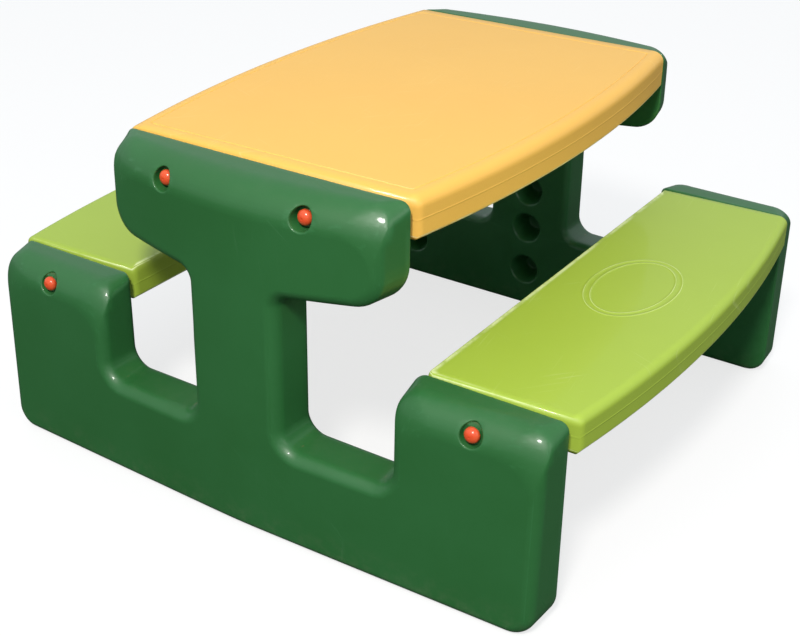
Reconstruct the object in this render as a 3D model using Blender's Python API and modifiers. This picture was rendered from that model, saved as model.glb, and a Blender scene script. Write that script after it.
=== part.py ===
"""Play table for small children: a moulded table top and two bench seats between two moulded end frames.

X runs across the table from bench to bench, Y along it from end frame to end frame, and Z up.
The origin is on the floor, under the middle of the table top. All sizes are in metres.
Each moulding is a loft: one outline drawn again and again with other insets, so that its edges round over.
"""
import math

import bmesh
import bpy
from mathutils import Matrix, Vector

# Heights
TABLE_HEIGHT = 0.506
SEAT_HEIGHT = 0.285
TABLE_THICKNESS = 0.0545
BENCH_THICKNESS = 0.049

# Table top and benches, seen from above
FRAME_SPACING = 0.721
TABLE_END_WIDTH = 0.448
TABLE_SIDE_BOW = 0.0325
BENCH_POST_MARGIN = 0.010
BENCH_OVERHANG = 0.0055
BENCH_SIDE_BOW = 0.031

# End frame, seen from the end of the table
FRAME_WIDTH = 0.894
FRAME_TOP_DROP = 0.002
POST_WIDTH = 0.210
BASE_HEIGHT = 0.145
COLUMN_WIDTH = 0.148
BEAM_BOTTOM_AT_COLUMN = 0.359
BEAM_BOTTOM_AT_END = 0.376

# End frame, from its inner wall to its outer wall
FRAME_DEPTH = 0.063
FRAME_FACE_BOW = 0.013
FACE_RIDGE_SOFTNESS = 0.033
FACE_LEAN = 0.0075
OUTER_DRAFT = 0.004
BEAM_END_DRAFT = 0.0125
GAP_DRAFT = 0.003
BEAM_FACE_CURVE = 0.018
BEAM_TOP_CURVE = 0.012
BEAM_FACE_FLAT = 0.030

# Rounding of the end frame's edges
SHOULDER_HEIGHT = 0.042
SHOULDER_DEPTH = 0.038
OUTER_EDGE_RADIUS = 0.015
BEAM_END_EDGE_RADIUS = 0.013
GAP_OUTER_EDGE_RADIUS = 0.016
BOTTOM_EDGE_RADIUS = 0.012
GAP_INNER_EDGE_RADIUS = 0.012
SEAM_EDGE_RADIUS = 0.003
FOOT_CORNER_RADIUS = 0.034
TOP_CORNER_RADIUS = 0.012
TOP_CORNER_FACE_RADIUS = 0.047
BEAM_LOWER_CORNER_RADIUS = 0.050
GAP_CORNER_RADIUS = 0.026
BEAM_CORNER_RADIUS = 0.014
LEAST_CORNER_RADIUS = 0.006
CORNER_RADIUS_LOSS = 0.7

# Edges of the table top and the benches
PLAN_CORNER_RADIUS = 0.010
TABLE_CROWN_WIDTH = 0.016
TABLE_CROWN_DROP = 0.014
BENCH_CROWN_WIDTH = 0.012
BENCH_CROWN_DROP = 0.011
STRAIGHT_EDGE_RADIUS = 0.004
LOWER_EDGE_RADIUS = 0.005
GROOVE_INSET = 0.023
GROOVE_WIDTH = 0.0024
GROOVE_DEPTH = 0.0012

# Fastening: a tongue of the top or bench sits in a pocket of the frame and a screw goes into it
TABLE_SCREW_X = 0.109
BENCH_SCREW_INSET = 0.100
TABLE_SCREW_DROP = 0.0305
BENCH_SCREW_DROP = 0.0265
TONGUE_WIDTH = 0.060
TONGUE_HEIGHT = 0.026
TONGUE_LENGTH = 0.026
RECESS_FLOOR_RADIUS = 0.0125
RECESS_MOUTH_RADIUS = 0.0165
RECESS_FLOOR_DEPTH = 0.049
SCREW_RADIUS = 0.0030
SCREW_LENGTH = 0.034
SCREW_HEAD_RADIUS = 0.0055
SCREW_HEAD_HEIGHT = 0.0034
SCREW_HEAD_TOP_RADIUS = 0.0040
SCREW_HEAD_RIM_HEIGHT = 0.0014
WASHER_RADIUS = 0.0088
WASHER_THICKNESS = 0.0012
CAP_RADIUS = 0.0102
CAP_RIM_HEIGHT = 0.0030
CAP_HEIGHT = 0.0105
CAP_WALL = 0.0024

# Kiss-offs: cones pressed into a hidden wall of a hollow moulding until it meets the wall that shows
KISS_OFF_RADIUS = 0.027
KISS_OFF_TIP_RADIUS = 0.014
FRAME_KISS_OFF_DEPTH = 0.040
PANEL_KISS_OFF_DEPTH = 0.034
COLUMN_KISS_OFF_HEIGHTS = (0.070, 0.150, 0.220, 0.290)
BASE_KISS_OFF_INSETS = (0.217, 0.097)
BASE_KISS_OFF_HEIGHT = 0.072
POST_KISS_OFF_DROP = 0.098
BEAM_KISS_OFF_X = 0.112
BEAM_KISS_OFF_DROP = 0.092
TABLE_KISS_OFF_SPACING = (0.140, 0.150)
TABLE_KISS_OFF_COUNTS = (3, 4)
BENCH_KISS_OFF_SPACING = 0.150
BENCH_KISS_OFF_COUNT = 4

# Gap left between pieces that touch
CLEARANCE = 0.0003
SCREW_HOLE_CLEARANCE = 0.0004
BORE_SPARE_DEPTH = 0.0030

# Fineness of the facets
CORNER_SEGMENTS = 4
INNER_ROUNDING_STEPS = 2
OUTER_ROUNDING_STEPS = 5
BOW_SEGMENTS = 14
FACE_STRIPS = 14
TURNED_STEPS = 16
OVERSHOOT = 0.02

GREEN = (0.025, 0.120, 0.045, 1.0)
YELLOW = (0.930, 0.560, 0.150, 1.0)
LIME = (0.380, 0.560, 0.090, 1.0)
RED_ORANGE = (0.760, 0.085, 0.022, 1.0)
ZINC = (0.600, 0.600, 0.580, 1.0)


def post_inner_x():
    return FRAME_WIDTH / 2 - POST_WIDTH


def bench_inner_x():
    return post_inner_x() + BENCH_POST_MARGIN


def bench_outer_x():
    """Where the bowed side of a bench meets the end frames."""
    return FRAME_WIDTH / 2 + BENCH_OVERHANG


def clear_scene():
    """Start from an empty file."""
    for item in list(bpy.data.objects):
        bpy.data.objects.remove(item, do_unlink=True)


def new_collection(name):
    collection = bpy.data.collections.new(name)
    bpy.context.scene.collection.children.link(collection)
    return collection


def new_material(name, colour, roughness, metallic=0.0):
    material = bpy.data.materials.new(name)
    material.use_nodes = True
    shader = material.node_tree.nodes["Principled BSDF"]
    shader.inputs["Base Color"].default_value = colour
    shader.inputs["Roughness"].default_value = roughness
    shader.inputs["Metallic"].default_value = metallic
    material.diffuse_color = colour
    return material


def object_from(name, bm, material, collection):
    """Turn a bmesh into an object with outward faces."""
    bmesh.ops.recalc_face_normals(bm, faces=bm.faces)
    mesh = bpy.data.meshes.new(name)
    bm.to_mesh(mesh)
    bm.free()
    if material:
        mesh.materials.append(material)
    mesh.shade_smooth()
    mesh.set_sharp_from_angle(angle=math.radians(35))
    item = bpy.data.objects.new(name, mesh)
    collection.objects.link(item)
    return item


def corner_arc(before, corner, after, radius):
    """Points of the arc that rounds one corner of a flat outline, from its first side to its second."""
    to_before = (before - corner).normalized()
    to_after = (after - corner).normalized()
    half_angle = to_before.angle(to_after) / 2
    centre = corner + (to_before + to_after).normalized() * (radius / math.sin(half_angle))
    start = corner + to_before * (radius / math.tan(half_angle)) - centre
    turn = math.pi - 2 * half_angle
    if start.x * (corner - centre).y - start.y * (corner - centre).x < 0:
        turn = -turn
    points = []
    for step in range(CORNER_SEGMENTS + 1):
        angle = turn * step / CORNER_SEGMENTS
        spun = Vector((start.x * math.cos(angle) - start.y * math.sin(angle),
                       start.x * math.sin(angle) + start.y * math.cos(angle)))
        points.append(centre + spun)
    return points


def loft(rings):
    """Skin closed rings of points, one after another, and cap the first and the last."""
    bm = bmesh.new()
    loops = [[bm.verts.new(point) for point in ring] for ring in rings]
    count = len(loops[0])
    for lower, upper in zip(loops, loops[1:]):
        for i in range(count):
            j = (i + 1) % count
            bm.faces.new((lower[i], lower[j], upper[j], upper[i]))
    bm.faces.new(loops[0][::-1])
    bm.faces.new(loops[-1])
    return bm


def face_bow(x, z):
    """How far the outer wall of an end frame stands out, beyond its depth at the corner of a foot."""
    reach = math.hypot(FRAME_WIDTH / 2, FACE_RIDGE_SOFTNESS) - FACE_RIDGE_SOFTNESS
    bow = FRAME_FACE_BOW * (1 - (math.hypot(x, FACE_RIDGE_SOFTNESS) - FACE_RIDGE_SOFTNESS) / reach)
    if z > SEAT_HEIGHT and abs(x) > BEAM_FACE_FLAT:
        along = (abs(x) - BEAM_FACE_FLAT) / (TABLE_END_WIDTH / 2 - BEAM_FACE_FLAT)
        shoulder_foot = TABLE_HEIGHT - FRAME_TOP_DROP - SHOULDER_HEIGHT
        up = max(0, z - shoulder_foot) / SHOULDER_HEIGHT
        bow -= (BEAM_FACE_CURVE + BEAM_TOP_CURVE * up ** 2) * along ** 2
    return bow - FACE_LEAN * abs(x) / (FRAME_WIDTH / 2) * z / SEAT_HEIGHT


def frame_corners(insets, face_share):
    """Right-hand corners of the end frame's outline: place, radius, and the two sides that meet there.

    A corner that stands out loses part of its radius as the outline shrinks, and one in a gap gains.
    """
    half = FRAME_WIDTH / 2 - insets["outer"]
    seat = SEAT_HEIGHT - FRAME_TOP_DROP - insets["top"]
    table = TABLE_HEIGHT - FRAME_TOP_DROP - insets["top"]
    post = post_inner_x() + insets["gap"]
    base = BASE_HEIGHT - insets["gap"]
    column = COLUMN_WIDTH / 2 - insets["gap"]
    beam = TABLE_END_WIDTH / 2 - insets["beam"]
    slope = (BEAM_BOTTOM_AT_END - BEAM_BOTTOM_AT_COLUMN) / (TABLE_END_WIDTH / 2 - COLUMN_WIDTH / 2)

    def underside(x):
        return BEAM_BOTTOM_AT_COLUMN + slope * (x - COLUMN_WIDTH / 2) + insets["gap"]

    foot_radius = max(FOOT_CORNER_RADIUS - insets["outer"] * CORNER_RADIUS_LOSS, LEAST_CORNER_RADIUS)
    top_radius = TOP_CORNER_RADIUS + (TOP_CORNER_FACE_RADIUS - TOP_CORNER_RADIUS) * face_share
    beam_radius = max(BEAM_LOWER_CORNER_RADIUS - insets["beam"] * CORNER_RADIUS_LOSS, LEAST_CORNER_RADIUS)
    gap_radius = GAP_CORNER_RADIUS + insets["gap"]
    beam_gap_radius = BEAM_CORNER_RADIUS + insets["gap"]
    return [
        (half, insets["bottom"], foot_radius, "bottom", "outer"),
        (half, seat, top_radius, "outer", "top"),
        (post, seat, top_radius, "top", "gap"),
        (post, base, gap_radius, "gap", "gap"),
        (column, base, gap_radius, "gap", "gap"),
        (column, underside(column), beam_gap_radius, "gap", "gap"),
        (beam, underside(beam), beam_radius, "gap", "beam"),
        (beam, table, min(top_radius, table - underside(beam) - beam_radius), "beam", "top"),
    ]


def frame_ring(insets, rises, face_share):
    """One ring of the end frame's loft: its outline, each point at the depth of the side that it is on."""
    right = frame_corners(insets, face_share)
    left = [(-x, z, radius, after, before) for x, z, radius, before, after in reversed(right)]
    corners = right + left
    count = len(corners)
    places = [Vector((corner[0], corner[1])) for corner in corners]
    ring = []
    for i, (x, z, radius, before, after) in enumerate(corners):
        arc = corner_arc(places[i - 1], places[i], places[(i + 1) % count], radius)
        for step, point in enumerate(arc):
            share = step / CORNER_SEGMENTS
            depth = rises[before] * (1 - share) + rises[after] * share
            ring.append(Vector((point.x, -(FRAME_SPACING / 2 + depth), point.y)))
    return ring


def drafted_ring(insets, rises):
    """A ring whose sides lean in with their depth, as a mould needs, and whose top corners grow with it."""
    drafts = {"outer": OUTER_DRAFT, "beam": BEAM_END_DRAFT, "top": 0.0, "gap": GAP_DRAFT, "bottom": 0.0}
    leaning = {side: insets[side] + drafts[side] * rises[side] / FRAME_DEPTH for side in insets}
    return frame_ring(leaning, rises, rises["top"] / FRAME_DEPTH)


def frame_rings():
    """All rings of the end frame's loft, from its inner wall to its outer wall."""
    inner = {"outer": SEAM_EDGE_RADIUS, "beam": SEAM_EDGE_RADIUS, "top": SEAM_EDGE_RADIUS,
             "gap": GAP_INNER_EDGE_RADIUS, "bottom": BOTTOM_EDGE_RADIUS}
    outer = {"outer": OUTER_EDGE_RADIUS, "beam": BEAM_END_EDGE_RADIUS, "top": SHOULDER_HEIGHT,
             "gap": GAP_OUTER_EDGE_RADIUS, "bottom": BOTTOM_EDGE_RADIUS}
    outer_depth = dict(outer, top=SHOULDER_DEPTH)
    rings = []
    for step in range(INNER_ROUNDING_STEPS + 1):
        angle = math.pi / 2 * (1 - step / INNER_ROUNDING_STEPS)
        insets = {side: size * (1 - math.cos(angle)) for side, size in inner.items()}
        rises = {side: size * (1 - math.sin(angle)) for side, size in inner.items()}
        rings.append(drafted_ring(insets, rises))
    for step in range(OUTER_ROUNDING_STEPS + 1):
        angle = math.pi / 2 * step / OUTER_ROUNDING_STEPS
        insets = {side: size * (1 - math.cos(angle)) for side, size in outer.items()}
        rises = {side: FRAME_DEPTH - outer_depth[side] * (1 - math.sin(angle)) for side in outer}
        rings.append(drafted_ring(insets, rises))
    return rings


def frame_body(name, material, collection):
    """One end frame at the near end of the table, before its recesses and pockets are cut."""
    bm = loft(frame_rings())
    for strip in range(1, FACE_STRIPS):
        x = FRAME_WIDTH * (strip / FACE_STRIPS - 0.5)
        geometry = bm.verts[:] + bm.edges[:] + bm.faces[:]
        bmesh.ops.bisect_plane(bm, geom=geometry, dist=0.00001, plane_co=(x, 0, 0), plane_no=(1, 0, 0))
    for vert in bm.verts:
        depth = -vert.co.y - FRAME_SPACING / 2
        vert.co.y = -(FRAME_SPACING / 2 + depth * (1 + face_bow(vert.co.x, vert.co.z) / FRAME_DEPTH))
    long_faces = [face for face in bm.faces if len(face.verts) > 4]
    bmesh.ops.triangulate(bm, faces=long_faces)
    return object_from(name, bm, material, collection)


def add_cylinder(bm, radius, start, end):
    """A cylinder along Y between two points, for cutting."""
    length = (end - start).length
    place = Matrix.Translation((start + end) / 2) @ Matrix.Rotation(math.pi / 2, 4, "X")
    bmesh.ops.create_cone(bm, cap_ends=True, segments=TURNED_STEPS + 4, radius1=radius, radius2=radius,
                          depth=length, matrix=place)


def add_recess(bm, x, z, floor, mouth):
    """A tapered recess along Y for a cap, from its floor out to where the face stands furthest out."""
    slope = (RECESS_MOUTH_RADIUS - RECESS_FLOOR_RADIUS) / (FRAME_DEPTH - RECESS_FLOOR_DEPTH)
    length = floor - mouth
    place = Matrix.Translation((x, (floor + mouth) / 2, z)) @ Matrix.Rotation(math.pi / 2, 4, "X")
    bmesh.ops.create_cone(bm, cap_ends=True, segments=TURNED_STEPS + 4, radius1=RECESS_FLOOR_RADIUS,
                          radius2=RECESS_FLOOR_RADIUS + slope * length, depth=length, matrix=place)


def add_cone(bm, centre, direction, depth):
    """A kiss-off: a blunt cone whose mouth lies on a wall at centre, pressed in along direction."""
    overshoot = depth * 0.25
    flare = (KISS_OFF_RADIUS - KISS_OFF_TIP_RADIUS) * overshoot / depth
    place = Matrix.Translation(centre + direction * (depth - overshoot) / 2)
    turn = Vector((0, 0, 1)).rotation_difference(direction).to_matrix().to_4x4()
    bmesh.ops.create_cone(bm, cap_ends=True, segments=TURNED_STEPS, radius1=KISS_OFF_RADIUS + flare,
                          radius2=KISS_OFF_TIP_RADIUS, depth=depth + overshoot, matrix=place @ turn)


def add_block(bm, low, high):
    """A box between two corners."""
    size = high - low
    place = Matrix.Translation((low + high) / 2) @ Matrix.Diagonal((size.x, size.y, size.z, 1))
    bmesh.ops.create_cube(bm, size=1, matrix=place)


def screw_places():
    """X and Z of the four screws in one end frame."""
    table_z = TABLE_HEIGHT - TABLE_SCREW_DROP
    seat_z = SEAT_HEIGHT - BENCH_SCREW_DROP
    bench_x = FRAME_WIDTH / 2 - BENCH_SCREW_INSET
    return [("table", side * TABLE_SCREW_X, table_z) for side in (-1, 1)] + \
           [("bench", side * bench_x, seat_z) for side in (-1, 1)]


def frame_kiss_offs():
    """Centres of the kiss-offs on an end frame's inner wall, as X and Z."""
    places = [(0.0, height) for height in COLUMN_KISS_OFF_HEIGHTS]
    for side in (-1, 1):
        places += [(side * (FRAME_WIDTH / 2 - inset), BASE_KISS_OFF_HEIGHT) for inset in BASE_KISS_OFF_INSETS]
        places.append((side * (FRAME_WIDTH - POST_WIDTH) / 2, SEAT_HEIGHT - POST_KISS_OFF_DROP))
        places.append((side * BEAM_KISS_OFF_X, TABLE_HEIGHT - BEAM_KISS_OFF_DROP))
    return places


def cut(item, bm, name, cutters):
    """Take a shape away from a part."""
    cutter = object_from(name, bm, None, cutters)
    cutter.matrix_world = item.matrix_world
    cutter.hide_render = True
    cutter.display_type = "WIRE"
    boolean = item.modifiers.new(name, "BOOLEAN")
    boolean.operation = "DIFFERENCE"
    boolean.solver = "EXACT"
    boolean.object = cutter


def end_frame(name, turned, material, collection, cutters):
    """An end frame with its cap recesses, screw holes, tongue pockets and kiss-offs."""
    frame = frame_body(name, material, collection)
    if turned:
        frame.rotation_euler = (0, 0, math.pi)
        bpy.context.view_layer.update()
    wall = -FRAME_SPACING / 2
    floor = wall - RECESS_FLOOR_DEPTH
    outside = wall - FRAME_DEPTH - FRAME_FACE_BOW - OVERSHOOT
    recesses = bmesh.new()
    holes = bmesh.new()
    pockets = bmesh.new()
    for _, x, z in screw_places():
        add_recess(recesses, x, z, floor, outside)
        add_cylinder(holes, SCREW_RADIUS + SCREW_HOLE_CLEARANCE,
                     Vector((x, wall + OVERSHOOT, z)), Vector((x, floor - OVERSHOOT / 4, z)))
        half = TONGUE_WIDTH / 2 + CLEARANCE
        rise = TONGUE_HEIGHT / 2 + CLEARANCE
        add_block(pockets, Vector((x - half, wall - TONGUE_LENGTH - CLEARANCE, z - rise)),
                  Vector((x + half, wall + OVERSHOOT, z + rise)))
    cones = bmesh.new()
    for x, z in frame_kiss_offs():
        add_cone(cones, Vector((x, wall, z)), Vector((0, -1, 0)), FRAME_KISS_OFF_DEPTH)
    cut(frame, recesses, name + "_recess_cutter", cutters)
    cut(frame, pockets, name + "_pocket_cutter", cutters)
    cut(frame, holes, name + "_hole_cutter", cutters)
    cut(frame, cones, name + "_kiss_off_cutter", cutters)
    return frame


def side_line(end_x, bow, y, half_length):
    """X of a bowed side at y: an arc through the two ends that stands out by bow in the middle."""
    radius = (half_length ** 2 + bow ** 2) / (2 * bow)
    return end_x + bow - radius + math.sqrt(radius ** 2 - y ** 2)


def panel_ring(z, near_side, far_side, side_inset, end_inset):
    """A ring of a table top or bench. A side is given as its X at the ends and its bow; bow 0 is straight."""
    half_length = FRAME_SPACING / 2 - CLEARANCE
    length = half_length - end_inset

    def edge(side, y, sign):
        end_x, bow = side
        if bow == 0:
            return end_x - sign * min(side_inset, STRAIGHT_EDGE_RADIUS + max(0, side_inset - GROOVE_INSET / 2))
        return sign * side_line(abs(end_x), bow, y, half_length) - sign * side_inset

    radius = max(PLAN_CORNER_RADIUS - min(side_inset, end_inset), LEAST_CORNER_RADIUS)
    ring = []
    for side, sign, direction in ((far_side, 1, 1), (near_side, -1, -1)):
        for step in range(BOW_SEGMENTS + 1):
            y = direction * (length - radius) * (2 * step / BOW_SEGMENTS - 1)
            ring.append(Vector((edge(side, y, sign), y, z)))
        corner_x = edge(side, direction * (length - radius), sign)
        for step in range(1, CORNER_SEGMENTS + 1):
            angle = math.pi / 2 * step / CORNER_SEGMENTS
            x = corner_x - sign * radius * (1 - math.cos(angle))
            y = direction * (length - radius + radius * math.sin(angle))
            ring.append(Vector((x, y, z)))
    return ring


def panel_profile(top, thickness, crown_width, crown_drop, grooved):
    """The edge of a panel from below to above: height, inset of the long sides, inset of the ends."""
    bottom = top - thickness
    profile = []
    for step in range(3):
        angle = math.pi / 4 * step
        inset = LOWER_EDGE_RADIUS * (1 - math.sin(angle))
        rise = LOWER_EDGE_RADIUS * (1 - math.cos(angle))
        profile.append((bottom + rise, inset, inset))
    crown_floor = GROOVE_DEPTH if grooved else 0.0
    for step in range(5):
        angle = math.pi / 8 * step
        inset = 1 - math.cos(angle)
        drop = crown_floor + (crown_drop - crown_floor) * (1 - math.sin(angle))
        end_drop = STRAIGHT_EDGE_RADIUS * inset
        profile.append((top - drop, crown_width * inset, end_drop))
    if grooved:
        profile.append((top - GROOVE_DEPTH, GROOVE_INSET, GROOVE_INSET))
        profile.append((top, GROOVE_INSET + GROOVE_WIDTH, GROOVE_INSET + GROOVE_WIDTH))
    return profile


def panel(name, near_side, far_side, profile, material, collection):
    """A table top or bench without tongues: its plan outline lofted up its edge profile."""
    rings = [panel_ring(z, near_side, far_side, inset, end_inset) for z, inset, end_inset in profile]
    return object_from(name, loft(rings), material, collection)


def add_tongues(item, kind, sides, cutters):
    """Join the tongues that reach into the end frames, and drill each for its screw."""
    reach = FRAME_SPACING / 2 + TONGUE_LENGTH
    bore_depth = SCREW_LENGTH - (RECESS_FLOOR_DEPTH - TONGUE_LENGTH) + BORE_SPARE_DEPTH
    tongues = bmesh.new()
    bores = bmesh.new()
    for place_kind, x, z in screw_places():
        if place_kind != kind or x * sides < 0:
            continue
        for end in (-1, 1):
            root = end * (FRAME_SPACING / 2 - TONGUE_LENGTH / 2)
            tip = end * reach
            add_block(tongues, Vector((x - TONGUE_WIDTH / 2, min(root, tip), z - TONGUE_HEIGHT / 2)),
                      Vector((x + TONGUE_WIDTH / 2, max(root, tip), z + TONGUE_HEIGHT / 2)))
            add_cylinder(bores, SCREW_RADIUS + SCREW_HOLE_CLEARANCE, Vector((x, end * (reach - bore_depth), z)),
                         Vector((x, end * (reach + OVERSHOOT), z)))
    joined = object_from(item.name + "_tongues", tongues, None, cutters)
    joined.hide_render = True
    joined.display_type = "WIRE"
    union = item.modifiers.new("tongues", "BOOLEAN")
    union.operation = "UNION"
    union.solver = "EXACT"
    union.object = joined
    cut(item, bores, item.name + "_bore_cutter", cutters)


def add_panel_kiss_offs(item, centre_x, spacing, counts, underside, cutters):
    """Press a grid of kiss-offs into a panel's underside."""
    cones = bmesh.new()
    for column in range(counts[0]):
        for row in range(counts[1]):
            x = centre_x + spacing[0] * (column - (counts[0] - 1) / 2)
            y = spacing[1] * (row - (counts[1] - 1) / 2)
            add_cone(cones, Vector((x, y, underside)), Vector((0, 0, 1)), PANEL_KISS_OFF_DEPTH)
    cut(item, cones, item.name + "_kiss_off_cutter", cutters)


def table_top(material, collection, cutters):
    profile = panel_profile(TABLE_HEIGHT, TABLE_THICKNESS, TABLE_CROWN_WIDTH, TABLE_CROWN_DROP, True)
    half = TABLE_END_WIDTH / 2
    top = panel("table_top", (-half, TABLE_SIDE_BOW), (half, TABLE_SIDE_BOW), profile, material, collection)
    add_tongues(top, "table", 0, cutters)
    add_panel_kiss_offs(top, 0.0, TABLE_KISS_OFF_SPACING, TABLE_KISS_OFF_COUNTS,
                        TABLE_HEIGHT - TABLE_THICKNESS, cutters)


def bench(name, side, material, collection, cutters):
    """A bench: straight towards the table, bowed outwards on the other side."""
    profile = panel_profile(SEAT_HEIGHT, BENCH_THICKNESS, BENCH_CROWN_WIDTH, BENCH_CROWN_DROP, False)
    straight = (side * bench_inner_x(), 0)
    bowed = (side * bench_outer_x(), BENCH_SIDE_BOW)
    near_side, far_side = (straight, bowed) if side > 0 else (bowed, straight)
    seat = panel(name, near_side, far_side, profile, material, collection)
    add_tongues(seat, "bench", side, cutters)
    centre_x = side * (bench_inner_x() + bench_outer_x()) / 2
    add_panel_kiss_offs(seat, centre_x, (0, BENCH_KISS_OFF_SPACING), (1, BENCH_KISS_OFF_COUNT),
                        SEAT_HEIGHT - BENCH_THICKNESS, cutters)


def turned(name, profile, material, collection):
    """A turned piece: a profile of radius and height, run from the top down, spun round Z."""
    bm = bmesh.new()
    verts = [bm.verts.new((radius, 0, height)) for radius, height in profile]
    for first, second in zip(verts, verts[1:]):
        bm.edges.new((first, second))
    mesh = bpy.data.meshes.new(name)
    bm.to_mesh(mesh)
    bm.free()
    mesh.materials.append(material)
    item = bpy.data.objects.new(name, mesh)
    collection.objects.link(item)
    spin = item.modifiers.new("spin", "SCREW")
    spin.steps = TURNED_STEPS
    spin.render_steps = TURNED_STEPS
    spin.use_merge_vertices = True
    spin.merge_threshold = 0.0001
    return item


def washer_profile():
    bore = SCREW_RADIUS + SCREW_HOLE_CLEARANCE
    return [(bore, WASHER_THICKNESS), (WASHER_RADIUS, WASHER_THICKNESS), (WASHER_RADIUS, 0), (bore, 0),
            (bore, WASHER_THICKNESS)]


def screw_profile():
    """Pan head at the top, shank with a blunt point below; height 0 is under the head."""
    shank = SCREW_LENGTH + WASHER_THICKNESS + 2 * CLEARANCE
    return [(0, SCREW_HEAD_HEIGHT), (SCREW_HEAD_TOP_RADIUS, SCREW_HEAD_HEIGHT),
            (SCREW_HEAD_RADIUS, SCREW_HEAD_RIM_HEIGHT), (SCREW_HEAD_RADIUS, 0), (SCREW_RADIUS, 0),
            (SCREW_RADIUS, SCREW_RADIUS - shank), (0, -shank)]


def cap_profile():
    """A domed cap, hollow below so that it fits over the screw head; height 0 is its rim."""
    dome = []
    for step in range(5):
        angle = math.pi / 2 * (1 - step / 4)
        dome.append((CAP_RADIUS * math.cos(angle),
                     CAP_RIM_HEIGHT + (CAP_HEIGHT - CAP_RIM_HEIGHT) * math.sin(angle)))
    dome[0] = (0, CAP_HEIGHT)
    hollow = CAP_RADIUS - CAP_WALL
    ceiling = SCREW_HEAD_HEIGHT + 2 * CLEARANCE
    return dome + [(CAP_RADIUS, 0), (hollow, 0), (hollow, ceiling), (0, ceiling)]


def fastener(label, x, z, end, steel, red, collection):
    """A washer, a screw and the cap that hides them, stacked in a recess along Y."""
    floor = FRAME_SPACING / 2 + RECESS_FLOOR_DEPTH
    tilt = math.pi / 2 if end < 0 else -math.pi / 2
    washer_base = CLEARANCE
    head_base = washer_base + WASHER_THICKNESS + CLEARANCE
    for kind, profile, material, height in (("washer", washer_profile(), steel, washer_base),
                                            ("screw", screw_profile(), steel, head_base),
                                            ("cap", cap_profile(), red, head_base)):
        item = turned(kind + "_" + label, profile, material, collection)
        item.rotation_euler = (tilt, 0, 0)
        item.location = (x, end * (floor + height), z)


def build():
    clear_scene()
    parts = new_collection("play_table")
    cutters = new_collection("cutters")
    green = new_material("frame_green", GREEN, 0.36)
    yellow = new_material("table_yellow", YELLOW, 0.42)
    lime = new_material("bench_lime", LIME, 0.42)
    red = new_material("cap_red", RED_ORANGE, 0.25)
    steel = new_material("zinc_steel", ZINC, 0.35, 1.0)
    end_frame("end_frame_near", False, green, parts, cutters)
    end_frame("end_frame_far", True, green, parts, cutters)
    table_top(yellow, parts, cutters)
    bench("bench_right", 1, lime, parts, cutters)
    bench("bench_left", -1, lime, parts, cutters)
    for end, end_name in ((-1, "near"), (1, "far")):
        for kind, x, z in screw_places():
            label = "_".join((kind, end_name, "right" if x > 0 else "left"))
            fastener(label, x, z, end, steel, red, parts)


build()
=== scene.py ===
# %% [markdown]
# # A small children's play table, dressed around its solids
# The table is put together from five hollow plastic mouldings: two end frames, a table top and two
# benches. Eight screws hold them, each under a red cap. The solids give every size and place. This
# lesson builds the skin that shows: finer mouldings, finishes, a floor, light and a camera.

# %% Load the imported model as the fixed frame
import math

import bmesh
import bpy
from mathutils import Matrix, Vector


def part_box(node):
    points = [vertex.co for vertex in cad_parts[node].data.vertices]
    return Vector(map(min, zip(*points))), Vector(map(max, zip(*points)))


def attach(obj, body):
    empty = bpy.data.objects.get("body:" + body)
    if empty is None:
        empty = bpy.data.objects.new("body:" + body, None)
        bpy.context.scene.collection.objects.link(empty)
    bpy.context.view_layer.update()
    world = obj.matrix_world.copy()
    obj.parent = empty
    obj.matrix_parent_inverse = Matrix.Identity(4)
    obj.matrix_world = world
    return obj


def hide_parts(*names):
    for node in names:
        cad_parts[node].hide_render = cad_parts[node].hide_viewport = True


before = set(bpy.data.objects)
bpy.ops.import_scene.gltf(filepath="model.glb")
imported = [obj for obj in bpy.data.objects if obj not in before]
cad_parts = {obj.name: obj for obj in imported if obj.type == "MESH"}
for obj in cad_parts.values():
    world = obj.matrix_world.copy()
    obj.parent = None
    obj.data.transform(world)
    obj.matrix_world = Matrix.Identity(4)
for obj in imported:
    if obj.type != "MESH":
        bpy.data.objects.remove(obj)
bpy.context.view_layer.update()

# %% [markdown]
# ## The camera
# The photograph was taken from the right of the near end, at about twice the table's height. The place,
# the turn and the focal length come from lines whose real lengths are known, so the picture and the
# model can be laid over each other. Three plain turns are easier to read than a matrix of nine numbers.

# %% Camera
CAMERA_PLACE = (1.01386, -1.59302, 1.12663)
CAMERA_TURNS = (63.4476, -0.5305, 33.8216)
CAMERA_LENS = 61.634
CAMERA_SHIFT = (0.01103, -0.03965)


def scene_object(name, data):
    thing = bpy.data.objects.new(name, data)
    bpy.context.scene.collection.objects.link(thing)
    return thing


def set_camera():
    lens = bpy.data.cameras.new("camera")
    lens.lens = CAMERA_LENS
    lens.sensor_width = 36
    lens.shift_x, lens.shift_y = CAMERA_SHIFT
    lens.dof.use_dof = False
    camera = scene_object("camera", lens)
    camera.location = CAMERA_PLACE
    camera.rotation_euler = [math.radians(turn) for turn in CAMERA_TURNS]
    bpy.context.scene.camera = camera
    return camera


camera = set_camera()
print("camera at", [round(v, 3) for v in camera.location], "lens", CAMERA_LENS, "mm")

# %% [markdown]
# ## Sizes
# A scene can't read the script that made the solids, so the sizes that shape the mouldings are
# written once more here. What can be measured on a solid, such as a height or a spacing, is read from
# its box instead, so that the skin can't drift away from what lies under it.

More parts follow.
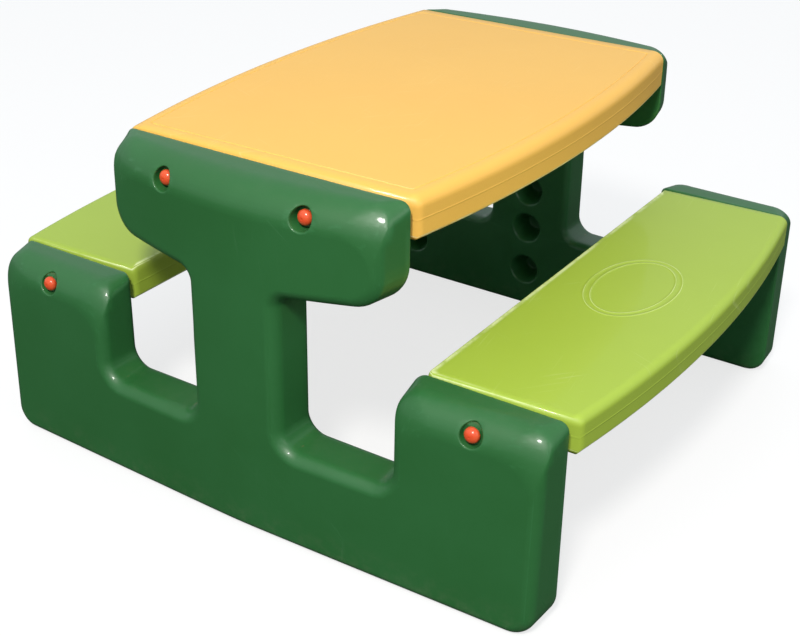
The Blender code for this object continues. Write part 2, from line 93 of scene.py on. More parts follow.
# %% Sizes measured on the solids
top_low, top_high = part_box("table_top")
seat_low, seat_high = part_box("bench_right")
frame_low, frame_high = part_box("end_frame_near")
TABLE_HEIGHT = round(top_high.z, 4)
SEAT_HEIGHT = round(seat_high.z, 4)
TABLE_THICKNESS = round(top_high.z - top_low.z, 4)
BENCH_THICKNESS = round(seat_high.z - seat_low.z, 4)
FRAME_WIDTH = round(frame_high.x - frame_low.x, 4)
FRAME_SPACING = round(-2 * frame_high.y, 4)
print("table", TABLE_HEIGHT, "seat", SEAT_HEIGHT, "frame", FRAME_WIDTH, "spacing", FRAME_SPACING)

# %% Sizes of the end frame, seen from the end of the table
TABLE_END_WIDTH = 0.448
FRAME_TOP_DROP = 0.002
POST_INNER_X = 0.237
BASE_HEIGHT = 0.145
COLUMN_WIDTH = 0.148
BEAM_BOTTOM_AT_COLUMN = 0.359
BEAM_BOTTOM_AT_END = 0.376

# %% Sizes of the end frame, from its inner wall outwards
FRAME_DEPTH = 0.063
FRAME_FACE_BOW = 0.013
FACE_RIDGE_SOFTNESS = 0.033
FACE_LEAN = 0.0075
SIDE_DRAFT = {"outer": 0.004, "beam": 0.0125, "top": 0.0, "gap": 0.003, "bottom": 0.0}
BEAM_FACE_CURVE = 0.018
BEAM_TOP_CURVE = 0.012
BEAM_FACE_FLAT = 0.030

# %% Rounding of the end frame's edges
SHOULDER_HEIGHT = 0.042
SHOULDER_DEPTH = 0.038
INNER_EDGES = {"outer": 0.003, "beam": 0.003, "top": 0.003, "gap": 0.012, "bottom": 0.012}
OUTER_EDGES = {"outer": 0.015, "beam": 0.013, "top": SHOULDER_HEIGHT, "gap": 0.016, "bottom": 0.012}
FOOT_CORNER = 0.034
TOP_CORNER = 0.012
TOP_CORNER_AT_FACE = 0.047
BEAM_LOWER_CORNER = 0.050
GAP_CORNER = 0.026
BEAM_CORNER = 0.014
LEAST_CORNER = 0.006
CORNER_LOSS = 0.7

# %% [markdown]
# ## The shape of an end frame
# Each end frame is one hollow moulding with soft edges all round: an H standing on a wide base. It could
# be a box cut by booleans and then bevelled, but a bevel breaks down where wide and narrow roundings
# meet in a corner. A loft is calmer: the outline is drawn again and again, each time drawn in a little,
# and the rings are skinned one after another. The solid uses the same way with few rings, this skin
# with many.

# %% Rounded corners of an outline
CORNER_STEPS = 10


def corner_arc(before, corner, after, radius):
    """Points of the arc that rounds one corner, from its first side to its second."""
    to_before = (before - corner).normalized()
    to_after = (after - corner).normalized()
    half_angle = to_before.angle(to_after) / 2
    centre = corner + (to_before + to_after).normalized() * (radius / math.sin(half_angle))
    start = corner + to_before * (radius / math.tan(half_angle)) - centre
    turn = math.pi - 2 * half_angle
    if start.x * (corner - centre).y - start.y * (corner - centre).x < 0:
        turn = -turn
    points = []
    for step in range(CORNER_STEPS + 1):
        angle = turn * step / CORNER_STEPS
        points.append(centre + Vector((start.x * math.cos(angle) - start.y * math.sin(angle),
                                       start.x * math.sin(angle) + start.y * math.cos(angle))))
    return points


# %% Corners of the end frame's outline
def frame_corners(insets, face_share):
    """Right-hand corners of the outline: place, radius, and the two sides that meet there."""
    half = FRAME_WIDTH / 2 - insets["outer"]
    seat = SEAT_HEIGHT - FRAME_TOP_DROP - insets["top"]
    table = TABLE_HEIGHT - FRAME_TOP_DROP - insets["top"]
    post = POST_INNER_X + insets["gap"]
    base = BASE_HEIGHT - insets["gap"]
    column = COLUMN_WIDTH / 2 - insets["gap"]
    beam = TABLE_END_WIDTH / 2 - insets["beam"]
    slope = (BEAM_BOTTOM_AT_END - BEAM_BOTTOM_AT_COLUMN) / (TABLE_END_WIDTH / 2 - COLUMN_WIDTH / 2)

    def underside(x):
        return BEAM_BOTTOM_AT_COLUMN + slope * (x - COLUMN_WIDTH / 2) + insets["gap"]

    foot_radius = max(FOOT_CORNER - insets["outer"] * CORNER_LOSS, LEAST_CORNER)
    top_radius = TOP_CORNER + (TOP_CORNER_AT_FACE - TOP_CORNER) * face_share
    beam_radius = max(BEAM_LOWER_CORNER - insets["beam"] * CORNER_LOSS, LEAST_CORNER)
    return [
        (half, insets["bottom"], foot_radius, "bottom", "outer"),
        (half, seat, top_radius, "outer", "top"),
        (post, seat, top_radius, "top", "gap"),
        (post, base, GAP_CORNER + insets["gap"], "gap", "gap"),
        (column, base, GAP_CORNER + insets["gap"], "gap", "gap"),
        (column, underside(column), BEAM_CORNER + insets["gap"], "gap", "gap"),
        (beam, underside(beam), beam_radius, "gap", "beam"),
        (beam, table, min(top_radius, table - underside(beam) - beam_radius), "beam", "top"),
    ]


def frame_ring(insets, rises):
    """One ring of the loft. Each point lies at the depth of the side that it is on."""
    right = frame_corners(insets, rises["top"] / FRAME_DEPTH)
    left = [(-x, z, radius, after, before) for x, z, radius, before, after in reversed(right)]
    corners = right + left
    places = [Vector(corner[:2]) for corner in corners]
    ring = []
    for i, (x, z, radius, before, after) in enumerate(corners):
        arc = corner_arc(places[i - 1], places[i], places[(i + 1) % len(corners)], radius)
        for step, point in enumerate(arc):
            share = step / CORNER_STEPS
            depth = rises[before] * (1 - share) + rises[after] * share
            ring.append(Vector((point.x, -FRAME_SPACING / 2 - depth, point.y)))
    return ring


# %% Rings from the inner wall to the outer wall
INNER_STEPS = 5
MIDDLE_STEPS = 4
OUTER_STEPS = 14
HOLD = 0.0015  # width of the strip beside a rounding that keeps the flat next to it shaded flat


def quarter_turn(steps):
    """The angles from 0 to a right angle that a rounding is drawn with."""
    return [math.pi / 2 * step / steps for step in range(steps + 1)]


def frame_rings():
    outer_depth = dict(OUTER_EDGES, top=SHOULDER_DEPTH)
    profile = []
    for step in range(INNER_STEPS + 1):
        angle = math.pi / 2 * (1 - step / INNER_STEPS)
        profile.append(({side: size * (1 - math.cos(angle)) for side, size in INNER_EDGES.items()},
                        {side: size * (1 - math.sin(angle)) for side, size in INNER_EDGES.items()}))
    for step in range(1, MIDDLE_STEPS):
        share = step / MIDDLE_STEPS
        profile.append((dict.fromkeys(OUTER_EDGES, 0.0),
                        {side: INNER_EDGES[side] * (1 - share) + (FRAME_DEPTH - outer_depth[side]) * share
                         for side in OUTER_EDGES}))
    for angle in quarter_turn(OUTER_STEPS):
        profile.append(({side: size * (1 - math.cos(angle)) for side, size in OUTER_EDGES.items()},
                        {side: FRAME_DEPTH - outer_depth[side] * (1 - math.sin(angle))
                         for side in OUTER_EDGES}))
    profile.append(({side: size + HOLD for side, size in OUTER_EDGES.items()},
                    dict.fromkeys(OUTER_EDGES, FRAME_DEPTH)))
    rings = []
    for insets, rises in profile:
        for side, draft in SIDE_DRAFT.items():
            insets[side] += draft * rises[side] / FRAME_DEPTH
        rings.append(frame_ring(insets, rises))
    return rings


print("rings:", len(frame_rings()), "points in each:", len(frame_rings()[0]))

# %% [markdown]
# ## The bow of the outer wall
# Seen from above, the outer wall isn't flat: it stands furthest out at the column and falls back towards
# both feet, and the beam falls back faster still. A flat loft that is pushed out afterwards keeps every
# ring simple. The long faces are first sliced into strips, because a face can only bend at its edges.

# %% How far the outer wall stands out
def face_bow(x, z):
    reach = math.hypot(FRAME_WIDTH / 2, FACE_RIDGE_SOFTNESS) - FACE_RIDGE_SOFTNESS
    bow = FRAME_FACE_BOW * (1 - (math.hypot(x, FACE_RIDGE_SOFTNESS) - FACE_RIDGE_SOFTNESS) / reach)
    if z > SEAT_HEIGHT and abs(x) > BEAM_FACE_FLAT:
        along = (abs(x) - BEAM_FACE_FLAT) / (TABLE_END_WIDTH / 2 - BEAM_FACE_FLAT)
        shoulder_foot = TABLE_HEIGHT - FRAME_TOP_DROP - SHOULDER_HEIGHT
        up = max(0, z - shoulder_foot) / SHOULDER_HEIGHT
        bow -= (BEAM_FACE_CURVE + BEAM_TOP_CURVE * up ** 2) * along ** 2
    return bow - FACE_LEAN * abs(x) / (FRAME_WIDTH / 2) * z / SEAT_HEIGHT


# %% Places of the kiss-offs and the screws
KISS_OFF_RADIUS = 0.027
KISS_OFF_TIP_RADIUS = 0.014
KISS_OFF_LIP = 0.004
KISS_OFF_TIP_LIP = KISS_OFF_LIP * 0.8
FRAME_KISS_OFF_DEPTH = 0.040
PANEL_KISS_OFF_DEPTH = 0.034
COLUMN_CONE_HEIGHTS = (0.070, 0.150, 0.220, 0.290)
BASE_CONE_REACHES = (0.230, 0.350)
BASE_CONE_HEIGHT = 0.072
POST_CONE_DROP = 0.098
BEAM_CONE_REACH = 0.112
BEAM_CONE_DROP = 0.092
ROUND_STEPS = 48


def frame_kiss_offs():
    """Centres of the blunt cones that are pressed into an end frame's inner wall."""
    places = [(0.0, height) for height in COLUMN_CONE_HEIGHTS]
    for side in (-1, 1):
        places += [(side * reach, BASE_CONE_HEIGHT) for reach in BASE_CONE_REACHES]
        places.append((side * (POST_INNER_X + FRAME_WIDTH / 2) / 2, SEAT_HEIGHT - POST_CONE_DROP))
        places.append((side * BEAM_CONE_REACH, TABLE_HEIGHT - BEAM_CONE_DROP))
    return places


def screw_places():
    """Kind, side, X and Z of the four screws in one end frame, read from the solid caps."""
    places = []
    for kind in ("table", "bench"):
        for side in ("left", "right"):
            low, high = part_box("cap_%s_near_%s" % (kind, side))
            places.append((kind, side, (low.x + high.x) / 2, (low.z + high.z) / 2))
    return places


print("kiss-offs:", len(frame_kiss_offs()), "screws in one end:", len(screw_places()))

# %% [markdown]
# ## Small helpers for lofted skins
# A ring is a list of mesh points that closes on itself, and a band is the skin between two rings.
# A flat wall with holes is filled between its outline and the rims of the holes by triangulation,
# and each hole then grows its own rings. That gives clean, rounded mouths where a boolean would leave
# sharp ones.

# %% Rings, bands and flat walls with holes
TOLERANCE = 0.00001
X_AXIS, Y_AXIS, Z_AXIS = Vector((1, 0, 0)), Vector((0, 1, 0)), Vector((0, 0, 1))


def add_ring(bm, points):
    return [bm.verts.new(point) for point in points]


def add_band(bm, first, second):
    count = len(first)
    for i in range(count):
        j = (i + 1) % count
        bm.faces.new((first[i], first[j], second[j], second[i]))


def skin_over(bm, rings):
    for first, second in zip(rings, rings[1:]):
        add_band(bm, first, second)


def ring_edges(bm, ring):
    edges = []
    for i, vert in enumerate(ring):
        other = ring[(i + 1) % len(ring)]
        edges.append(bm.edges.get((vert, other)) or bm.edges.new((vert, other)))
    return edges


def fill_wall(bm, edges, holes, normal):
    """Triangulate a flat wall between the edges of its outline and the rims of its holes."""
    for hole in holes:
        edges = edges + ring_edges(bm, hole)
    bmesh.ops.triangle_fill(bm, use_beauty=True, use_dissolve=False, edges=edges, normal=normal)


def circle(centre, radius, across, up, steps=ROUND_STEPS):
    return [centre + across * (radius * math.cos(2 * math.pi * i / steps))
            + up * (radius * math.sin(2 * math.pi * i / steps)) for i in range(steps)]


# %% A kiss-off with a soft mouth
LIP_STEPS = 5
LIP_SWEEP = math.pi / 2 * 0.8


def kiss_off(bm, centre, inward, across, up, depth):
    """Skin of a blunt cone pressed in along inward. Returns its rim, which lies in the wall."""
    lip, tip_lip = KISS_OFF_LIP, KISS_OFF_TIP_LIP
    profile = []
    for step in range(LIP_STEPS + 1):
        angle = LIP_SWEEP * step / LIP_STEPS
        profile.append((KISS_OFF_RADIUS + lip * 0.5 - lip * math.sin(angle), lip * (1 - math.cos(angle))))
    slope_end = (KISS_OFF_TIP_RADIUS + tip_lip * 0.6, depth - tip_lip)
    profile.append(((profile[-1][0] + slope_end[0]) / 2, (profile[-1][1] + slope_end[1]) / 2))
    for angle in quarter_turn(LIP_STEPS):
        profile.append((slope_end[0] - tip_lip * (1 - math.cos(angle)),
                        slope_end[1] + tip_lip * math.sin(angle)))
    rings = [add_ring(bm, circle(centre + inward * drop, radius, across, up)) for radius, drop in profile]
    skin_over(bm, rings)
    bm.faces.new(rings[-1])
    return rings[0]


# %% Turn a finished skin into an object
BEND_MARK = "bend"
HOLLOW_MARK = "hollow"
FINEST_BEND = 330.0  # the lips of grooves and rings bend more tightly and aren't marked as edges


def mark_bends(bm):
    """Write on each point how tightly the skin bends outwards and inwards there, as 1 over the radius."""
    outwards = bm.verts.layers.float.new(BEND_MARK)
    inwards = bm.verts.layers.float.new(HOLLOW_MARK)
    for vert in bm.verts:
        bends = [0.0]
        for edge in vert.link_edges:
            step = edge.other_vert(vert).co - vert.co
            bends.append(-2 * vert.normal.dot(step) / max(step.length_squared, 1e-9))
        vert[outwards] = max(bends) if max(bends) < FINEST_BEND else 0.0
        vert[inwards] = -min(bends)


def skin_object(name, bm):
    bmesh.ops.recalc_face_normals(bm, faces=bm.faces)
    bm.normal_update()
    mark_bends(bm)
    mesh = bpy.data.meshes.new(name)
    bm.to_mesh(mesh)
    bm.free()
    mesh.shade_smooth()
    skin = scene_object(name, mesh)
    return skin


# %% The end frame's body, sliced and bowed
STRIP_WIDTH = 0.012


def sliced(bm, axis, low, high, step):
    count = round((high - low) / step)
    for i in range(1, count):
        geometry = bm.verts[:] + bm.edges[:] + bm.faces[:]
        bmesh.ops.bisect_plane(bm, geom=geometry, dist=TOLERANCE,
                               plane_co=axis * (low + (high - low) * i / count), plane_no=axis)


def frame_shell():
    """The loft of the near end frame without its inner wall, pushed out by the bow."""
    bm = bmesh.new()
    rings = [add_ring(bm, ring) for ring in frame_rings()]
    skin_over(bm, rings)
    bm.faces.new(rings[-1])
    sliced(bm, X_AXIS, -FRAME_WIDTH / 2, FRAME_WIDTH / 2, STRIP_WIDTH)
    sliced(bm, Z_AXIS, 0, TABLE_HEIGHT, STRIP_WIDTH * 2)
    for vert in bm.verts:
        depth = -vert.co.y - FRAME_SPACING / 2
        vert.co.y = -FRAME_SPACING / 2 - depth * (1 + face_bow(vert.co.x, vert.co.z) / FRAME_DEPTH)
    return bm


shell = frame_shell()
print("end frame shell:", len(shell.verts), "points,", len(shell.faces), "faces")

# %% [markdown]
# ## Recesses for the caps
# Each screw sits at the bottom of a round recess whose mouth runs out on the curved shoulder. The mouth
# can't be flat, so the shoulder itself decides how high each point of the rim lies. A cylinder is
# cut out of the shell first, which leaves a rim of points exactly on the surface, and the rounded lip and
# the tapered wall are grown from those points down to the floor.

# %% Cut the mouths
RECESS_MOUTH = 0.0168
RECESS_WALL = 0.0147
RECESS_FLOOR = 0.0125
RECESS_FLOOR_DEPTH = 0.049
RECESS_FILLET = 0.0016
SCREW_HOLE = 0.0034
SCREW_HOLE_DEPTH = 0.006
RECESS_LEAST_WALL = 0.0008
STEEPEST_MOUTH = 1.5
CUTTER_PAST_FLOOR = 0.012
CUTTER_LENGTH = 0.1


def cut_mouths(shell):
    """The shell with a straight hole cut at each screw, deeper than the floor of the recess."""
    mesh = bpy.data.meshes.new("shell")
    bmesh.ops.recalc_face_normals(shell, faces=shell.faces)
    shell.to_mesh(mesh)
    shell.free()
    body = scene_object("shell", mesh)
    cutter_bm = bmesh.new()
    end = -FRAME_SPACING / 2 - RECESS_FLOOR_DEPTH + CUTTER_PAST_FLOOR
    for _, _, x, z in screw_places():
        place = Matrix.Translation((x, end - CUTTER_LENGTH / 2, z)) @ Matrix.Rotation(math.pi / 2, 4, "X")
        bmesh.ops.create_cone(cutter_bm, cap_ends=True, segments=ROUND_STEPS, radius1=RECESS_MOUTH,
                              radius2=RECESS_MOUTH, depth=CUTTER_LENGTH, matrix=place)
    cutter_mesh = bpy.data.meshes.new("mouths")
    cutter_bm.to_mesh(cutter_mesh)
    cutter_bm.free()
    cutter = scene_object("mouths", cutter_mesh)
    boolean = body.modifiers.new("mouths", "BOOLEAN")
    boolean.operation = "DIFFERENCE"
    boolean.solver = "EXACT"
    boolean.object = cutter
    evaluated = body.evaluated_get(bpy.context.evaluated_depsgraph_get())
    bm = bmesh.new()
    bm.from_mesh(evaluated.to_mesh())
    evaluated.to_mesh_clear()
    bpy.data.objects.remove(body)
    bpy.data.objects.remove(cutter)
    return bm


def capped(bm):
    """Close the open inner side, so that the boolean sees a solid."""
    edges = [edge for edge in bm.edges if edge.is_boundary]
    bmesh.ops.holes_fill(bm, edges=edges, sides=0)
    return bm


body = cut_mouths(capped(shell))
print("after the mouths are cut:", len(body.verts), "points")


# %% Grow the lips, walls and floors
def rim_at(bm, x, z):
    """Drop the straight hole at one screw and return its rim, sorted by angle."""
    def distance(vert):
        return math.hypot(vert.co.x - x, vert.co.z - z)
    limit = RECESS_MOUTH + 2 * TOLERANCE
    hole = [face for face in bm.faces if all(distance(vert) <= limit for vert in face.verts)]
    bmesh.ops.delete(bm, geom=hole, context="FACES")
    rim = [vert for vert in bm.verts if vert.is_boundary and distance(vert) < limit]
    rim.sort(key=lambda vert: math.atan2(vert.co.z - z, vert.co.x - x))
    return rim


def grow_recess(bm, x, z):
    """Grow a rounded lip, a tapered wall, a fillet, the floor and the screw's hole from one rim.

    A spoke holds a way out from the middle, the mouth's Y and slope there, and the Y where the wall ends.
    """
    rim = rim_at(bm, x, z)
    bm.normal_update()
    floor = -FRAME_SPACING / 2 - RECESS_FLOOR_DEPTH
    spokes = []
    for vert in rim:
        out = Vector((vert.co.x - x, 0, vert.co.z - z)).normalized()
        slope = -(vert.normal @ out) / vert.normal.y if abs(vert.normal.y) > 0.2 else 0.0
        spokes.append((out, vert.co.y, max(-STEEPEST_MOUTH, min(STEEPEST_MOUTH, slope)),
                       max(floor, vert.co.y + RECESS_LEAST_WALL)))
    rings = [rim]
    lip = RECESS_MOUTH - RECESS_WALL

    def spoke_ring(radius, height_of):
        return add_ring(bm, [Vector((x, height_of(mouth, slope, base), z)) + out * radius
                             for out, mouth, slope, base in spokes])

    for step in range(1, LIP_STEPS + 1):
        t = step / LIP_STEPS
        rings.append(spoke_ring(
            RECESS_MOUTH - lip * (2 * t - t * t),
            lambda mouth, slope, base: mouth - slope * lip * (t - t * t)
            + min(lip * 1.4, (base - mouth) * 0.5) * t * t))
    lowest = RECESS_FLOOR + RECESS_FILLET
    for angle in quarter_turn(LIP_STEPS):
        rings.append(spoke_ring(
            lowest - RECESS_FILLET * (1 - math.cos(angle)), lambda mouth, slope, base:
            base - min(RECESS_FILLET, (base - mouth) * 0.3) * (1 - math.sin(angle))))
    for radius, depth in ((RECESS_FLOOR * 0.6, 0), (SCREW_HOLE, 0), (SCREW_HOLE, SCREW_HOLE_DEPTH)):
        rings.append(spoke_ring(radius, lambda mouth, slope, base: floor + depth))
    skin_over(bm, rings)
    bm.faces.new(rings[-1])
    return len(rim)


for kind, side, x, z in screw_places():
    print("recess", kind, side, "rim points:", grow_recess(body, x, z))


# %% [markdown]
# ## The inner wall of an end frame
# Hollow mouldings of this kind are stiffened by kiss-offs: blunt cones that are pressed in from the
# hidden side until the two walls meet. They show on the inner side of the far end frame, below
# the table top. The wall is flat, so it is filled round the rims of the cones.

# %% Inner wall with its kiss-offs
def add_inner_wall(bm):
    wall = -FRAME_SPACING / 2

    def in_wall(part):
        return all(abs(vert.co.y - wall) < TOLERANCE for vert in part.verts)

    bmesh.ops.delete(bm, geom=[face for face in bm.faces if in_wall(face)], context="FACES")
    edges = [edge for edge in bm.edges if edge.is_boundary and in_wall(edge)]
    rims = [kiss_off(bm, Vector((x, wall, z)), -Y_AXIS, X_AXIS, Z_AXIS, FRAME_KISS_OFF_DEPTH)
            for x, z in frame_kiss_offs()]
    fill_wall(bm, edges, rims, Y_AXIS)
    return len(rims)


print("cones in the inner wall:", add_inner_wall(body))
print("open edges left:", sum(1 for edge in body.edges if not edge.is_manifold))

# %% Both end frames
near_frame = skin_object("green_end_frame_near", body)
far_mesh = near_frame.data.copy()
far_mesh.name = "green_end_frame_far"
far_mesh.transform(Matrix.Rotation(math.pi, 4, "Z"))
far_frame = scene_object("green_end_frame_far", far_mesh)
for skin, node in ((near_frame, "end_frame_near"), (far_frame, "end_frame_far")):
    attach(skin, "root")
    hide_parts(node)
print("end frame skin:", len(near_frame.data.polygons), "faces each")

# %% [markdown]
# ## The table top and the benches
# These three are flat hollow panels with rounded edges. The edge has a profile: a small rounding below,
# an upright side with the fine seam where the two halves of the mould met, and a soft crown above.
# The table top has a shallow groove two fingers in from its edge. The plan outline is lofted up that
# profile. A bevel couldn't put seam and groove in, and a sweep along the outline would pinch the corners.

# %% Sizes of the panels
TABLE_SIDE_BOW = 0.0325
BENCH_INNER_X = 0.247
BENCH_OUTER_X = 0.4525
BENCH_SIDE_BOW = 0.031
PLAN_CORNER = 0.010
TABLE_CROWN = (0.016, 0.014)  # width and drop
BENCH_CROWN = (0.012, 0.011)
STRAIGHT_EDGE = 0.004
LOWER_EDGE = 0.005
SEAM_PROUD = 0.00022
SEAM_HALF_HEIGHT = 0.0007
SEAM_LEVEL = 0.47  # share of the panel's thickness
SEAM_SECTION = ((-1, 0), (-0.4, 1), (0.4, 1), (1, 0))  # shares of the half height and of proud
GROOVE_INSET = 0.023
GROOVE_HALF_WIDTH = 0.0009
GROOVE_DEPTH = 0.0013
GROOVE_SECTION = ((-1.6, 0), (-1, 0.15), (-0.45, 0.8), (0, 1), (0.45, 0.8), (1, 0.15), (1.6, 0))
PANEL_CLEARANCE = 0.0003
CONE_SPACING = 0.150
CONE_COLUMN_SPACING = 0.140
BOW_STEPS = 56
PANEL_CORNER_STEPS = 8


# %% Plan outline of a panel
def side_line(end_x, bow, y, half_length):
    """X of a bowed side at y: an arc through the two ends."""
    radius = (half_length ** 2 + bow ** 2) / (2 * bow)
    return end_x + bow - radius + math.sqrt(radius ** 2 - y ** 2)


def panel_ring(z, near_side, far_side, side_inset, end_inset, straight_inset):
    """A ring of a panel. A side is given as its X at the ends and its bow, and bow 0 is straight."""
    half_length = FRAME_SPACING / 2 - PANEL_CLEARANCE
    length = half_length - end_inset

    def edge(side, y, sign):
        end_x, bow = side
        if bow == 0:
            return end_x - sign * straight_inset
        return sign * side_line(abs(end_x), bow, y, half_length) - sign * side_inset

    radius = max(PLAN_CORNER - min(side_inset, end_inset), LEAST_CORNER)
    ring = []
    for side, sign, direction in ((far_side, 1, 1), (near_side, -1, -1)):
        for step in range(BOW_STEPS + 1):
            y = direction * (length - radius) * (2 * step / BOW_STEPS - 1)
            ring.append(Vector((edge(side, y, sign), y, z)))
        corner_x = edge(side, direction * (length - radius), sign)
        for angle in quarter_turn(PANEL_CORNER_STEPS)[1:]:
            ring.append(Vector((corner_x - sign * radius * (1 - math.cos(angle)),
                                direction * (length - radius + radius * math.sin(angle)), z)))
    return ring


# %% Edge profile of a panel, from below to above
ROUNDING_STEPS = 8


def panel_profile(top, thickness, crown, grooved):
    """Rows of height, inset of bowed sides, inset of the ends, and inset of a straight side."""
    width, drop = crown
    bottom = top - thickness
    middle = bottom + thickness * SEAM_LEVEL
    rows = []
    for angle in quarter_turn(ROUNDING_STEPS):
        inset = LOWER_EDGE * (1 - math.sin(angle))
        rows.append((bottom + LOWER_EDGE * (1 - math.cos(angle)), inset, inset, inset))
    upright = [(bottom + LOWER_EDGE + HOLD, 0), (middle - SEAM_HALF_HEIGHT - HOLD, 0)]
    upright += [(middle + SEAM_HALF_HEIGHT * shift, SEAM_PROUD * proud) for shift, proud in SEAM_SECTION]
    upright += [(middle + SEAM_HALF_HEIGHT + HOLD, 0), (top - drop - HOLD, 0)]
    rows += [(z, -proud, 0, -proud) for z, proud in upright]
    for angle in quarter_turn(ROUNDING_STEPS):
        in_share = 1 - math.cos(angle)
        rows.append((top - drop * (1 - math.sin(angle)), width * in_share,
                     STRAIGHT_EDGE * in_share, STRAIGHT_EDGE * in_share))
    level = [(top, width + HOLD)]
    if grooved:
        reach = GROOVE_HALF_WIDTH * GROOVE_SECTION[-1][0] + HOLD
        level.append((top, GROOVE_INSET - reach))
        for shift, depth in GROOVE_SECTION:
            level.append((top - GROOVE_DEPTH * depth, GROOVE_INSET + GROOVE_HALF_WIDTH * shift))
        level.append((top, GROOVE_INSET + reach))
    rows += [(z, inset, inset, inset) for z, inset in level]
    return [(z, side + SEAM_PROUD, end, straight + SEAM_PROUD) for z, side, end, straight in rows]


table_rows = panel_profile(TABLE_HEIGHT, TABLE_THICKNESS, TABLE_CROWN, True)
print("rows in the table top's profile:", len(table_rows))


# %% Build a panel with kiss-offs below and an optional raised oval above
def panel(name, near_side, far_side, rows, kiss_offs, oval=None):
    bm = bmesh.new()
    rings = [add_ring(bm, panel_ring(z, near_side, far_side, side, end, straight))
             for z, side, end, straight in rows]
    skin_over(bm, rings)
    bottom = rows[0][0]
    rims = [kiss_off(bm, Vector((x, y, bottom)), Z_AXIS, X_AXIS, Y_AXIS, PANEL_KISS_OFF_DEPTH)
            for x, y in kiss_offs]
    fill_wall(bm, ring_edges(bm, rings[0]), rims, -Z_AXIS)
    if oval:
        fill_wall(bm, ring_edges(bm, rings[-1]), [oval(bm)], Z_AXIS)
    else:
        bm.faces.new(rings[-1])
    return skin_object(name, bm)


# %% Table top
table_half = TABLE_END_WIDTH / 2
cone_rows = [CONE_SPACING * (row - 1.5) for row in range(4)]
table_cones = [(CONE_COLUMN_SPACING * (column - 1), y) for column in range(3) for y in cone_rows]
table_skin = panel("yellow_table_top", (-table_half, TABLE_SIDE_BOW),
                   (table_half, TABLE_SIDE_BOW), table_rows, table_cones)
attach(table_skin, "root")
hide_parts("table_top")
print("table top skin:", len(table_skin.data.polygons), "faces")

# %% [markdown]
# ## A plain raised oval on the benches
# The middle of each bench carries two oval rings, one inside the other, hardly higher than a sheet of
# card. A bump in the finish would vanish along their edges, so the rings are real: each is five ovals of
# growing and shrinking height, and the seat is filled flat outside, between and inside them.

# %% Raised oval
OVAL_HALF_LENGTH = 0.098
OVAL_HALF_WIDTH = 0.062
OVAL_BAND = 0.0034
OVAL_HEIGHT = 0.0005
OVAL_STEPS = 96
OVAL_INNER_INSET = 0.0095
OVAL_SHIFT = 0.008
OVAL_SECTION = ((0, 0), (0.25, 0.8), (0.5, 1), (0.75, 0.8), (1, 0))


def oval_maker(centre_x, top):
    def ring(bm, inset, rise):
        return add_ring(bm, [Vector((centre_x + (OVAL_HALF_WIDTH - inset) * math.cos(turn),
                                     (OVAL_HALF_LENGTH - inset) * math.sin(turn), top - OVAL_HEIGHT + rise))
                             for turn in (2 * math.pi * i / OVAL_STEPS for i in range(OVAL_STEPS))])

    def make(bm):
        """Two low rings, one inside the other. Returns the outermost oval, which lies in the seat."""
        rings = [ring(bm, -HOLD, 0)]
        for start in (0, OVAL_INNER_INSET):
            for share, rise in OVAL_SECTION:
                rings.append(ring(bm, start + OVAL_BAND * share, OVAL_HEIGHT * rise))
        rings.append(ring(bm, OVAL_INNER_INSET + OVAL_BAND + HOLD, 0))
        skin_over(bm, rings)
        bm.faces.new(rings[-1])
        return rings[0]
    return make


# %% Benches
bench_skins = []
for side, side_name in ((1, "right"), (-1, "left")):
    straight, bowed = (side * BENCH_INNER_X, 0), (side * BENCH_OUTER_X, BENCH_SIDE_BOW)
    near_side, far_side = (straight, bowed) if side > 0 else (bowed, straight)
    middle_x = side * (BENCH_INNER_X + BENCH_OUTER_X) / 2
    cones = [(middle_x, y) for y in cone_rows]
    rows = panel_profile(SEAT_HEIGHT - OVAL_HEIGHT, BENCH_THICKNESS - OVAL_HEIGHT, BENCH_CROWN, False)
    bench_skin = panel("lime_bench_" + side_name, near_side, far_side, rows, cones,
                       oval_maker(middle_x + side * OVAL_SHIFT, SEAT_HEIGHT))
    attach(bench_skin, "root")
    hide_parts("bench_" + side_name)
    bench_skins.append(bench_skin)
    print("bench", side_name, "skin:", len(bench_skin.data.polygons), "faces")

# %% [markdown]
# ## Red caps
# A cap is a small domed button that snaps over a screw head. It is a turned piece, so a profile spun
# round an axis is its whole shape. The dome has a soft edge and a tiny flat on top, where the plastic was
# let into the mould.

# %% Caps
CAP_STEPS = 40
DOME_STEPS = 9
CAP_FOOT = ((0.97, 0), (1, 0.03), (1, 0.28))  # shares of the radius and of the height
GATE_SECTION = ((0.13, 0), (0.11, 1), (0.04, 1))  # shares of the radius and of the gate's depth
GATE_LEVEL = 0.985  # share of the height
GATE_DEPTH = 0.0002


def cap_profile(radius, height):
    rows = [(radius * reach, height * level) for reach, level in CAP_FOOT]
    rim = rows[-1][1]
    for angle in quarter_turn(DOME_STEPS)[1:-1]:
        rows.append((radius * math.cos(angle), rim + (height - rim) * math.sin(angle)))
    return rows + [(radius * reach, height * GATE_LEVEL - GATE_DEPTH * depth)
                   for reach, depth in GATE_SECTION]


def cap_skin(node):
    low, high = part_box(node)
    end = 1 if low.y > 0 else -1
    radius = (high.x - low.x) / 2
    foot = Vector(((low.x + high.x) / 2, low.y if end > 0 else high.y, (low.z + high.z) / 2))
    bm = bmesh.new()
    rings = [add_ring(bm, circle(foot + Y_AXIS * (end * rise), reach, X_AXIS, Z_AXIS, CAP_STEPS))
             for reach, rise in cap_profile(radius, high.y - low.y)]
    skin_over(bm, rings)
    bm.faces.new(rings[-1])
    bm.faces.new(rings[0])
    cap = skin_object("red_" + node, bm)
    cap.data.set_sharp_from_angle(angle=math.radians(50))
    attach(cap, "root")
    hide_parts(node)
    return cap


caps = [cap_skin(node) for node in sorted(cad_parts) if node.startswith("cap_")]
print("caps:", len(caps))

